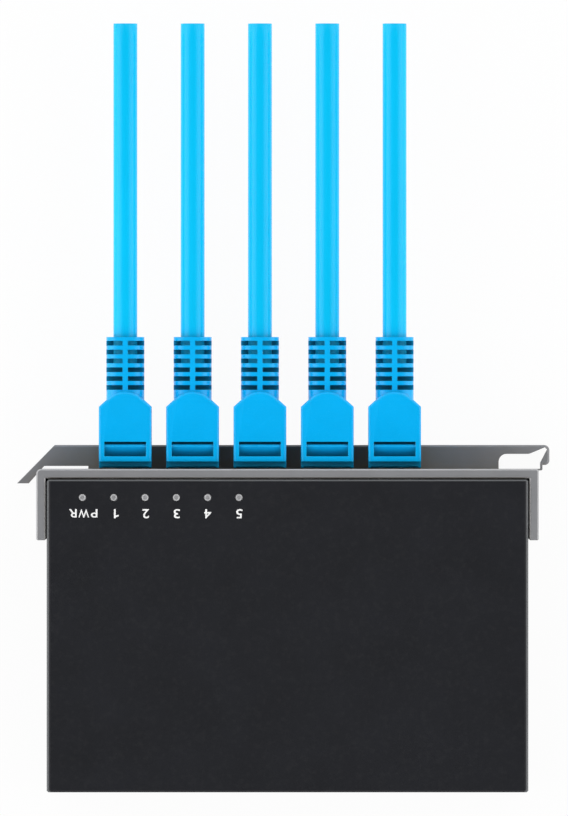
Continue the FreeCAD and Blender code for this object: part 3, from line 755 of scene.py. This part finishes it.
def tongue_outline():
    """Plan of the rounded tongue that runs from the hood's top out over the sleeve."""
    half = SLEEVE_HALF - TONGUE_INSET
    radius = (half * half + TONGUE_RISE * TONGUE_RISE) / (2 * TONGUE_RISE)
    reach = math.asin(half / radius)
    centre = HOOD_BACK + TONGUE_RISE - radius
    angles = [-reach + 2 * reach * step / TONGUE_STEPS for step in range(TONGUE_STEPS + 1)]
    arc = [(radius * math.sin(angle), centre + radius * math.cos(angle)) for angle in angles]
    root = HOOD_BACK - TONGUE_ROOT
    return arc + [(half, root), (-half, root)]


# %% Slots and bore
SLOT_COUNT, SLOT_PITCH, SLOT_LENGTH, SLOT_MARGIN = 6, 2.0, 1.04, 1.4
SPINE_HALF = 0.6
WEB_HALF = 0.3
LEAD_SHOWN_SLOTS = 3
LEAD_HALF = LEAD_DIAMETER / MM / 2
BORE_FIT = 0.01
LEAD_SHOWN_FROM = HOOD_END - SLOT_MARGIN - SLOT_PITCH * (LEAD_SHOWN_SLOTS - 0.5)


def slot_boxes():
    """The cuts on both sides of the spine, above and below."""
    boxes = []
    for index in range(SLOT_COUNT):
        middle = HOOD_END - SLOT_MARGIN - SLOT_PITCH * index
        ends = (middle - SLOT_LENGTH / 2, middle + SLOT_LENGTH / 2)
        for side in (-1, 1):
            across = sorted((side * SPINE_HALF, side * 2 * SLEEVE_HALF))
            for above in (-1, 1):
                floor = AXIS + above * WEB_HALF
                outline = rectangle(*across, *sorted((floor, floor + above * 2 * SLEEVE_RISE)))
                boxes.append(prism("slot", outline, "y", *ends))
    return boxes


# %% Window
OVERCUT = 1.0
WINDOW_FRONT, WINDOW_BACK, WINDOW_HALF, WINDOW_DEPTH = 2.55, 5.85, 4.7, 3.0
RAMP_DROP = 2.6
BAR_GAP, BAR_DROP = 0.5, 0.5
CREST_RADIUS, CREST_POINTS = 0.45, 9
CREST_START, CREST_TURN = 140.0, 17.5


def window_profile():
    """Side view of the cut that leaves the press bar and the ramp in the window."""
    front, back = HOOD_FRONT + WINDOW_FRONT, HOOD_FRONT + WINDOW_BACK
    bar, crest = back - BAR_GAP, HOOD_TOP - BAR_DROP
    floor, above = HOOD_TOP - WINDOW_DEPTH, HOOD_TOP + OVERCUT
    profile = [(front, HOOD_TOP - RAMP_DROP)]
    for step in range(CREST_POINTS):
        angle = math.radians(CREST_START - CREST_TURN * step)
        along, up = CREST_RADIUS * math.cos(angle), CREST_RADIUS * math.sin(angle)
        profile.append((bar - CREST_RADIUS + along, crest - CREST_RADIUS + up))
    return profile + [(bar, floor), (back, floor), (back, above), (front, above)]


# %% Body, dome and sleeve
NEAR = 0.01
RIM_BEVEL, RIM_SEGMENTS = 0.5, 3
DOME_BEVEL, DOME_SEGMENTS = 0.6, 4


def hood_body():
    """A hood with its dome and its sleeve, before anything is cut."""
    plan = [
        (-HOOD_HALF, HOOD_FRONT),
        (HOOD_HALF, HOOD_FRONT),
        (HOOD_HALF, HOOD_SHOULDER),
        (SLEEVE_HALF, HOOD_BACK),
        (-SLEEVE_HALF, HOOD_BACK),
        (-HOOD_HALF, HOOD_SHOULDER),
    ]
    body = prism("hood", plan, "z", HOOD_LOW, HOOD_TOP)

    def rim(a, b):
        level = abs(a.z - b.z) < NEAR
        return level and abs(a.y - b.y) > NEAR

    bevel_edges(body, RIM_BEVEL, RIM_SEGMENTS, rim)
    tongue = prism("tongue", tongue_outline(), "z", AXIS, HOOD_TOP)
    bevel_edges(tongue, DOME_BEVEL, DOME_SEGMENTS, lambda a, b: min(a.z, b.z) > HOOD_TOP - NEAR)
    section = barrel(SLEEVE_HALF, SLEEVE_RISE, SECTION_POWER)
    sleeve = prism("sleeve", section, "y", HOOD_SHOULDER, HOOD_END)
    return carve(body, "UNION", sleeve, tongue)


# %% Openings and eased edges
STEP_HALF, STEP_LENGTH, STEP_DEPTH = 7.0, 1.4, 2.2
POCKET_HALF, POCKET_LOW, POCKET_HIGH, POCKET_DEPTH = 5.05, 10.15, 16.25, 7.05
MOUTH_HALF, MOUTH_LOW, MOUTH_DEPTH = 5.25, 16.6, 0.25
RIB_EASE, RIB_SEGMENTS = 0.2, 3
RIB_SHELL, RIB_LEVEL = 0.97, 0.005
EASE, EASE_SEGMENTS, EASE_ANGLE = 0.08, 2, 40


def hood():
    """One hood with its sleeve, centred on the lead's line."""
    body = hood_body()
    ahead = HOOD_FRONT - OVERCUT
    outline = rectangle(-STEP_HALF, STEP_HALF, ahead, HOOD_FRONT + STEP_LENGTH)
    step = prism("step", outline, "z", HOOD_TOP - STEP_DEPTH, HOOD_TOP + OVERCUT)
    outline = rectangle(-POCKET_HALF, POCKET_HALF, POCKET_LOW, POCKET_HIGH)
    pocket = prism("pocket", outline, "y", ahead, HOOD_FRONT + POCKET_DEPTH)
    window = prism("window", window_profile(), "x", -WINDOW_HALF, WINDOW_HALF)
    outline = rectangle(-MOUTH_HALF, MOUTH_HALF, ahead, HOOD_FRONT + MOUTH_DEPTH)
    mouth = prism("mouth", outline, "z", MOUTH_LOW, HOOD_TOP)
    outline = barrel(LEAD_HALF, LEAD_HALF, ROUND_POWER)
    bore = prism("bore", outline, "y", LEAD_SHOWN_FROM, HOOD_END + OVERCUT)
    carve(body, "DIFFERENCE", step, pocket, window, mouth, bore, *slot_boxes())

    def rib_edge(a, b):
        across = abs(a.x / SLEEVE_HALF) ** SECTION_POWER
        upward = abs((a.z - AXIS) / SLEEVE_RISE) ** SECTION_POWER
        outer = across + upward > RIB_SHELL
        on_sleeve = HOOD_BACK + TONGUE_RISE < a.y < HOOD_END + NEAR
        return outer and on_sleeve and abs(a.y - b.y) < RIB_LEVEL

    bevel_edges(body, RIB_EASE, RIB_SEGMENTS, rib_edge)
    ease = body.modifiers.new("ease", "BEVEL")
    ease.width = EASE * MM
    ease.segments = EASE_SEGMENTS
    ease.limit_method = "ANGLE"
    ease.angle_limit = math.radians(EASE_ANGLE)
    return settle(body)


pattern = hood()
print("hood:", len(pattern.data.polygons), "faces")

# %% [markdown]
# ### Hood finish and its five copies
# The hoods are moulded in the same blue as the leads, a shade deeper, with the fine even grain of a
# satin mould, and painted shade darkens their edges and turns their recesses deep teal. Each copy also
# holds the short length of lead inside its sleeve, as a second material that is duller than the open
# lead and carries painted shade where it is enclosed, because hardly any light reaches it.

# %% Hood materials
HOOD_BLUE = (0.001, 0.43, 0.88)
HOOD_EDGE_SHADE = 0.7

# Painted shade: darker edges, and deep teal in recesses.
hood_plastic = skin(
    "hood_plastic_finish",
    HOOD_BLUE,
    grain=0.16,
    relief=0.004,
    roughness=0.25,
    mottle=0.03,
    edge=0.2,
    edge_colour=shade(HOOD_BLUE, HOOD_EDGE_SHADE),
    dust=0.0,
    recess=0.62,
    recess_colour=PAINTED_SHADE_TEAL,
    reach=5.0,
    Specular_IOR_Level=0.27,
)
# A duller copy of the jacket, with painted shade where it is enclosed.
shaded_sleeve_lead = skin(
    "sleeve_lead_finish",
    JACKET_BLUE,
    grain=0.4,
    relief=0.003,
    roughness=0.5,
    mottle=0.05,
    edge=0.0,
    dust=0.0,
    recess=0.3,
    recess_colour=PAINTED_SHADE_TEAL,
    Specular_IOR_Level=0.12,
)
print(hood_plastic.name, shaded_sleeve_lead.name)

# %% Five copies
HOOD_SHARP = 32

stub_half = LEAD_HALF - BORE_FIT
stub_section = barrel(stub_half, stub_half, ROUND_POWER)
stub = prism("inner_lead", stub_section, "y", LEAD_SHOWN_FROM, HOOD_END)
hood_pieces = []
for number, x in enumerate(PORT_X, 1):
    mesh = bmesh.new()
    mesh.from_mesh(pattern.data)
    hood_faces = len(mesh.faces)
    mesh.from_mesh(stub.data)
    mesh.faces.ensure_lookup_table()
    for index, face in enumerate(mesh.faces):
        face.material_index = 0 if index < hood_faces else 1
        face.smooth = True
    bmesh.ops.translate(mesh, verts=mesh.verts, vec=(x, 0, 0))
    obj = mesh_object(mesh, "moulded_hood_%d" % number, hood_plastic, shaded_sleeve_lead, sharp=HOOD_SHARP)
    hood_pieces.append(keep(obj, "hood_plastic", "plug_hood_%d" % number))
bpy.data.objects.remove(pattern)
bpy.data.objects.remove(stub)
print(len(hood_pieces), "hoods")

# %% [markdown]
# ### What goes with each lead
# For each lead, a list gathers its hood, its wires, its plug and the plug blades.

for number, line in enumerate(lead_lines, 1):
    on_lead = [hood_pieces[number - 1], lead_ends[number - 1]]
    on_lead += [nodes["plug_%d" % number], nodes["plug_blades"]]
print("leads of", LEAD_LENGTH, "m declared")

# %% [markdown]
# ## Finishes of the solids
# The other pieces keep their own solids and only need finishes. Painted steel, moulded plastic and
# rubber come from the skin recipe with their own grain. Plated, rolled and extruded metals are made like
# the copper of the wires.

# %% Skins
CASE_CHARCOAL = (0.0092, 0.0099, 0.0130)
CASE_RIM_HIGHLIGHT = (0.13, 0.135, 0.14, 1)
BRACKET_GREY = (0.226, 0.228, 0.238)
BRACKET_RIM_HIGHLIGHT = (0.46, 0.46, 0.47, 1)
BRACKET_SHADE = (0.15, 0.095, 0.008, 1)
JACK_BLACK = (0.012, 0.012, 0.012)
CHIP_BLACK = (0.014, 0.014, 0.015)
FOOT_BLACK = (0.016, 0.016, 0.016)

finishes = {
    # Painted highlight along the folds and the front edge, none along the back.
    "case_paint": skin(
        "case_paint_finish",
        CASE_CHARCOAL,
        grain=0.28,
        relief=0.012,
        roughness=0.5,
        mottle=0.14,
        edge=0.2,
        edge_colour=CASE_RIM_HIGHLIGHT,
        lean=0.9,
        front=0.85,
        dust=0.012,
        Specular_IOR_Level=0.3,
    ),
    # Painted highlight along rims, and a warm painted shade near the hoods and in recesses.
    "bracket_plastic": skin(
        "bracket_plastic_finish",
        BRACKET_GREY,
        grain=0.2,
        relief=0.006,
        roughness=0.45,
        mottle=0.05,
        edge_colour=BRACKET_RIM_HIGHLIGHT,
        lean=0.8,
        dust=0.02,
        recess=0.38,
        recess_colour=BRACKET_SHADE,
        reach=12.0,
        Specular_IOR_Level=0.4,
    ),
    "jack_plastic": skin("jack_plastic_finish", JACK_BLACK, grain=0.12, relief=0.004, roughness=0.45),
    "chip_plastic": skin("chip_plastic_finish", CHIP_BLACK, grain=0.1, relief=0.005, roughness=0.6),
    "foot_rubber": skin(
        "foot_rubber_finish", FOOT_BLACK, grain=0.35, relief=0.02, roughness=0.75, mottle=0.2
    ),
    "lead_jacket": lead_jacket,
    "hood_plastic": hood_plastic,
}
print(len(finishes), "finishes")

# %% Metals
# Colour, roughness, squeeze of the streaks on each axis, and tarnish.
metals = {
    "contact_gold": ((0.83, 0.58, 0.24, 1), 0.25, (3000.0, 90.0, 3000.0), 0.2),
    "sink_metal": ((0.70, 0.71, 0.72, 1), 0.35, (2500.0, 40.0, 2500.0), 0.2),
    "can_metal": ((0.72, 0.72, 0.74, 1), 0.28, (900.0, 120.0, 900.0), 0.15),
    "screw_steel": ((0.26, 0.26, 0.27, 1), 0.36, (90.0, 2500.0, 2500.0), 0.3),
}
for slot_name, values in metals.items():
    finishes[slot_name] = drawn_metal(slot_name + "_finish", *values)
print(len(finishes), "finishes")

# %% [markdown]
# ### Clear plugs
# The plugs are clear polycarbonate. A full Transmission Weight with a matching index of refraction gives
# that, and a little grain in the roughness stops it from looking like ideal glass. The lamps under the
# indicators are cast in resin, which is cloudy enough for the skin recipe.

# %% Clear plastics
PLUG_TINT = (0.93, 0.95, 0.96, 1)
PLUG_GLOSS = (0.05, 0.16)
PLUG_REACH, PLUG_EDGE = 2.0 * MM, 0.15 * MM
RESIN_TINT = (0.62, 0.62, 0.52)

plug_clear, tree, shader = new_material("plug_clear_finish", IOR=1.58, Transmission_Weight=1.0)
grains = use_group(tree, fine_grain, Size=0.4)
deep = use_group(tree, recess_shade, Reach=PLUG_REACH)["Mask"]
edges = use_group(tree, soft_edges, Radius=PLUG_EDGE)
# Painted shade: the tint darkens where the plug is enclosed.
tint = mix_colour(tree, deep, PLUG_TINT, shade(PLUG_TINT, RECESS_SHADE_TONE))
feed(tree, shader, Base_Color=tint, Roughness=spread(tree, grains["Mottle"], *PLUG_GLOSS))
raise_bumps(tree, shader, grains["Mottle"], relief=0.004, strength=0.3, normal=edges["Normal"])
finishes["plug_clear"] = plug_clear
finishes["lamp_resin"] = skin("lamp_resin_finish", RESIN_TINT, grain=0.3, relief=0.004, roughness=0.25)
print(plug_clear.name, finishes["lamp_resin"].name)

# %% [markdown]
# ### Indicator rods
# Each indicator is the end of a clear rod that brings light from the board up through the cover. Unlit,
# it is a milky grey disc. Its end has a raised rim round a shallow dish, and the rim is painted lighter,
# a painted highlight for the light that leaves a rod at its edge. The solid is a plain rod, so this piece
# takes its place: the bent part is a prism, and the round end is a stack of rings, like the leads.

# %% Indicator finishes
PIPE_GREY = (0.285, 0.285, 0.295)
PIPE_RIM_HIGHLIGHT = (0.42, 0.42, 0.43)
ROD_SKIN = {"grain": 0.3, "relief": 0.004, "roughness": 0.3, "dust": 0.0}

finishes["pipe_clear"] = skin("pipe_clear_finish", PIPE_GREY, mottle=0.12, **ROD_SKIN)
# Painted highlight: the rim is a lighter grey than the dish.
pipe_rim_highlight = skin("pipe_rim_finish", PIPE_RIM_HIGHLIGHT, mottle=0.08, edge=0.0, **ROD_SKIN)
print(finishes["pipe_clear"].name, pipe_rim_highlight.name)

# %% Dished end
# Radius and height of each ring, in millimetres from the rod's axis and from its top.
ROD_END = [(0.77, -1.05), (0.77, -0.06), (0.71, 0.0), (0.54, 0.0), (0.46, -0.07), (0.25, -0.09)]
RIM_STEPS = (1, 2, 3)


def dished_end(mesh, x, y, top):
    """Adds the round end of a rod to a mesh, with the second material on its rim."""
    rings = []
    for radius, depth in ROD_END:
        rings.append(ring(mesh, Vector((x, y, top + depth)) * MM, radius * MM, upright=True))
    for index, (first, second) in enumerate(zip(rings, rings[1:])):
        before = set(mesh.faces)
        bridge(mesh, first, second)
        for face in set(mesh.faces) - before:
            face.material_index = 1 if index in RIM_STEPS else 0
    mesh.faces.new(list(reversed(rings[0])))
    mesh.faces.new(rings[-1])


# %% Indicator rods
ROD_SIZE = 1.9
ROD_EASE, ROD_SEGMENTS = 0.12, 2
ROD_SHARP = 35


def indicator_rod(name, pipe):
    """A bent rod in place of a light pipe, with a round, dished end."""
    low, high = [[value / MM for value in corner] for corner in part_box(pipe)]
    half = ROD_SIZE / 2
    middle = (low[0] + high[0]) / 2
    front, back, top = high[1] - half, low[1] + half, high[2]
    run = top + ROD_END[0][1]
    path = [
        (back - half, low[2]),
        (back + half, low[2]),
        (back + half, run - ROD_SIZE),
        (front - half, run - ROD_SIZE),
        (front + half, run),
        (back + half, run),
        (back - half, run - ROD_SIZE),
    ]
    bent = prism("bent_rod", path, "x", middle - half, middle + half)
    bevel_edges(bent, ROD_EASE, ROD_SEGMENTS, lambda a, b: True)
    mesh = bmesh.new()
    mesh.from_mesh(bent.data)
    bpy.data.objects.remove(bent)
    dished_end(mesh, middle, front, top)
    bmesh.ops.recalc_face_normals(mesh, faces=mesh.faces)
    rod = mesh_object(mesh, name, finishes["pipe_clear"], pipe_rim_highlight, sharp=ROD_SHARP)
    return keep(rod, "pipe_clear", pipe)


rod_names = ["power", "1", "2", "3", "4", "5"]
rods = [indicator_rod("indicator_rod_" + label, "light_pipe_" + label) for label in rod_names]
print(len(rods), "indicator rods")

# %% [markdown]
# ### Circuit board
# The board is green lacquer over copper. Tracks show as slightly lighter, raised lines. A brick pattern
# with thin mortar gives lines that run and turn at right angles, and two of them at different sizes keep
# it from looking like a wall.

# %% Board finish
BOARD_GREEN = (0.012, 0.085, 0.035, 1)
TRACK_GREEN = (0.03, 0.17, 0.07, 1)
DARK_GREEN, DARK_SHARE = (0.006, 0.05, 0.02, 1), 0.2
TRACK_WIDTH = 0.05
TRACK_GRIDS = ((220.0, 0.9, 0.35), (140.0, 0.3, 1.3))

board, tree, shader = new_material("board_laminate_finish", Roughness=0.35)
place = add(tree, "ShaderNodeTexCoord").outputs["Object"]
masks = []
for scale, width, height in TRACK_GRIDS:
    sizes = {"Scale": scale, "Mortar Size": TRACK_WIDTH, "Brick Width": width, "Row Height": height}
    masks.append(add(tree, "ShaderNodeTexBrick", {"Vector": place, **sizes}).outputs["Fac"])
tracks = math_node(tree, "MAXIMUM", *masks)
grains = use_group(tree, fine_grain, Size=0.3)
tone = mix_colour(tree, tracks, BOARD_GREEN, TRACK_GREEN)
tone = mix_colour(tree, times(tree, grains["Mottle"], DARK_SHARE), tone, DARK_GREEN)
feed(tree, shader, Base_Color=tone)
raise_bumps(tree, shader, tracks, relief=0.02, strength=0.6)
finishes["board_laminate"] = board
print(len(finishes), "finishes")

# %% Give each solid its finish
slots = {row["node"]: row["material_slot"] for row in frame["record"]["subparts"]}
for name, obj in nodes.items():
    for holder in obj.material_slots:
        holder.material = finishes[slots[name]]
print(len(slots), "solids dressed")

# %% [markdown]
# ## Printed legends
# Beside each indicator is a small white legend, printed to be read from the port side, so it stands on
# its head in this view. A text object gives the letters. It is turned into a mesh, because a print needs
# a measured height, and it stands a few hundredths of a millimetre above the paint.

# %% Legend ink
LEGEND_WHITE = (0.94, 0.94, 0.94)

legend_ink = skin(
    "legend_ink_finish",
    LEGEND_WHITE,
    grain=0.12,
    relief=0.003,
    roughness=0.5,
    mottle=0.05,
    edge=0.0,
    dust=0.0,
)
print(legend_ink.name)

# %% Letters
LEGEND_WEIGHT = 0.014
LETTER_DEPTH = 0.01
ONE = [(1.0, 0.0), (1.0, 1.0), (0.70, 1.0), (0.50, 0.86)]
ONE += [(0.0, 0.76), (0.0, 0.59), (0.62, 0.71), (0.62, 0.0)]


def font_letter(text):
    """Thin mesh of a letter from Blender's own font."""
    curve = bpy.data.curves.new("letter", "FONT")
    curve.body = text
    curve.offset = LEGEND_WEIGHT
    curve.extrude = LETTER_DEPTH
    return curve_mesh(curve)


def drawn_one():
    """Thin mesh of a one with a flag, which the font's own one lacks."""
    drawn = prism("one", ONE, "z", -1, 1)
    data = drawn.data
    bpy.data.objects.remove(drawn)
    return data


# %% Legends
# Letters, indicator, height, width of each letter and shift along the row, in millimetres.
LEGEND_BASE = 24.73
LETTER_GAP = 0.38
INK_THICKNESS = 0.03
LEGENDS = [
    ("PWR", "light_pipe_power", 1.9, [1.50, 2.42, 1.76], 0.18),
    ("1", "light_pipe_1", 2.1, [1.10], 0.60),
    ("2", "light_pipe_2", 2.1, [1.50], 0.18),
    ("3", "light_pipe_3", 2.1, [1.40], 0.11),
    ("4", "light_pipe_4", 2.1, [1.62], 0.02),
    ("5", "light_pipe_5", 2.1, [1.40], 0.08),
]


def print_legend(text, pipe, height, widths, shift):
    """A legend on the cover beside its indicator, letter by letter, turned to the port side."""
    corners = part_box(pipe)
    total = sum(widths) + LETTER_GAP * (len(widths) - 1)
    start = (corners[0][0] + corners[1][0]) / 2 / MM + shift + total / 2
    mesh = bmesh.new()
    for letter, width in zip(text, widths):
        data = drawn_one() if letter == "1" else font_letter(letter)
        spots = [vertex.co.copy() for vertex in data.vertices]
        low = [min(spot[axis] for spot in spots) for axis in (0, 1)]
        high = [max(spot[axis] for spot in spots) for axis in (0, 1)]
        for vertex in data.vertices:
            across = (vertex.co.x - low[0]) / (high[0] - low[0]) * width
            along = (vertex.co.y - low[1]) / (high[1] - low[1]) * height
            level = cover_top / MM + (INK_THICKNESS if vertex.co.z > 0 else 0.0)
            vertex.co = Vector((start - across, LEGEND_BASE - along, level)) * MM
        mesh.from_mesh(data)
        bpy.data.meshes.remove(data)
        start -= width + LETTER_GAP
    keep(mesh_object(mesh, "legend_" + text.lower(), legend_ink), "case_paint")


for row in LEGENDS:
    print_legend(*row)
print(len(LEGENDS), "legends")

# %% [markdown]
# ## Floor, surroundings and light
# The background is plain white. The floor is a pale diffuse plane that also glows for the camera and for
# reflections, which takes it up to white but leaves a faint shadow under the switch. The surroundings
# are a light tent with a dark opening overhead, where the camera looks in, and with side walls that are
# brighter than the ends. So flat tops keep their own colour, and edges and round sides catch the light.
# A lamp that reflections don't show makes up for the light that the opening takes away.

# %% Floor
FLOOR_SIZE = 12.0
FLOOR_GLOW = 0.95
FLOOR_DROP = 0.02 * MM
FLOOR_WHITE = (0.9, 0.9, 0.9, 1)
WHITE = (1, 1, 1, 1)

floor_material = bpy.data.materials.new("floor_white")
floor_material.use_nodes = True
tree = floor_material.node_tree
tree.nodes.clear()
path = add(tree, "ShaderNodeLightPath")
seen = math_node(tree, "ADD", path.outputs["Is Camera Ray"], path.outputs["Is Glossy Ray"])
seen = math_node(tree, "ADD", seen, path.outputs["Is Transmission Ray"], True)
matt = add(tree, "ShaderNodeBsdfDiffuse", {"Color": FLOOR_WHITE})
glow = add(tree, "ShaderNodeEmission", {"Color": WHITE, "Strength": 1.0})
share = times(tree, seen, FLOOR_GLOW)
surface = add(tree, "ShaderNodeMixShader", {0: share, 1: matt.outputs[0], 2: glow.outputs[0]})
add(tree, "ShaderNodeOutputMaterial", {"Surface": surface.outputs[0]})
bpy.ops.mesh.primitive_plane_add(size=FLOOR_SIZE)
floor = bpy.context.object
floor.name = "studio_floor"
floor.location.z = -FLOOR_DROP
floor.data.materials.append(floor_material)
print(floor.name, FLOOR_SIZE, "m wide")

# %% Surroundings
OPENING_LEVEL = 0.03
TENT_LEVEL = 1.54
OPENING_EDGE, OPENING_START = 0.66, 0.88
LEFT_LEVEL, RIGHT_LEVEL, END_LEVEL = 1.74, 1.56, 0.45

world = bpy.data.worlds.new("light_tent")
scene.world = world
world.use_nodes = True
tree = world.node_tree
tree.nodes.clear()
direction = add(tree, "ShaderNodeTexCoord").outputs["Generated"]
split = add(tree, "ShaderNodeSeparateXYZ", {0: direction})
level = spread(tree, split.outputs["Z"], TENT_LEVEL, OPENING_LEVEL, OPENING_EDGE, OPENING_START)
side = spread(tree, split.outputs["X"], LEFT_LEVEL, RIGHT_LEVEL, -1.0)
aside = math_node(tree, "ABSOLUTE", split.outputs["X"])
wall = spread(tree, aside, END_LEVEL, side)
level = times(tree, level, wall)
tent = add(tree, "ShaderNodeBackground", {"Color": WHITE, "Strength": level})
add(tree, "ShaderNodeOutputWorld", {"Surface": tent.outputs[0]})
print(world.name, len(tree.nodes), "nodes")

# %% Lamp
LAMP_SPOT = (-0.1, 0.2, 1.3)
LAMP_SIZE = 0.8
LAMP_POWER = 1.3

data = bpy.data.lights.new("top_softbox", "AREA")
data.shape = "RECTANGLE"
data.size = data.size_y = LAMP_SIZE
data.energy = LAMP_POWER
lamp = bpy.data.objects.new("top_softbox", data)
lamp.location = LAMP_SPOT
aim = Vector((*VIEW_CENTRE, cover_top)) - lamp.location
lamp.rotation_euler = aim.to_track_quat("-Z", "Y").to_euler()
lamp.visible_camera = False
lamp.visible_glossy = False
scene.collection.objects.link(lamp)
print(lamp.name, LAMP_POWER, "W")
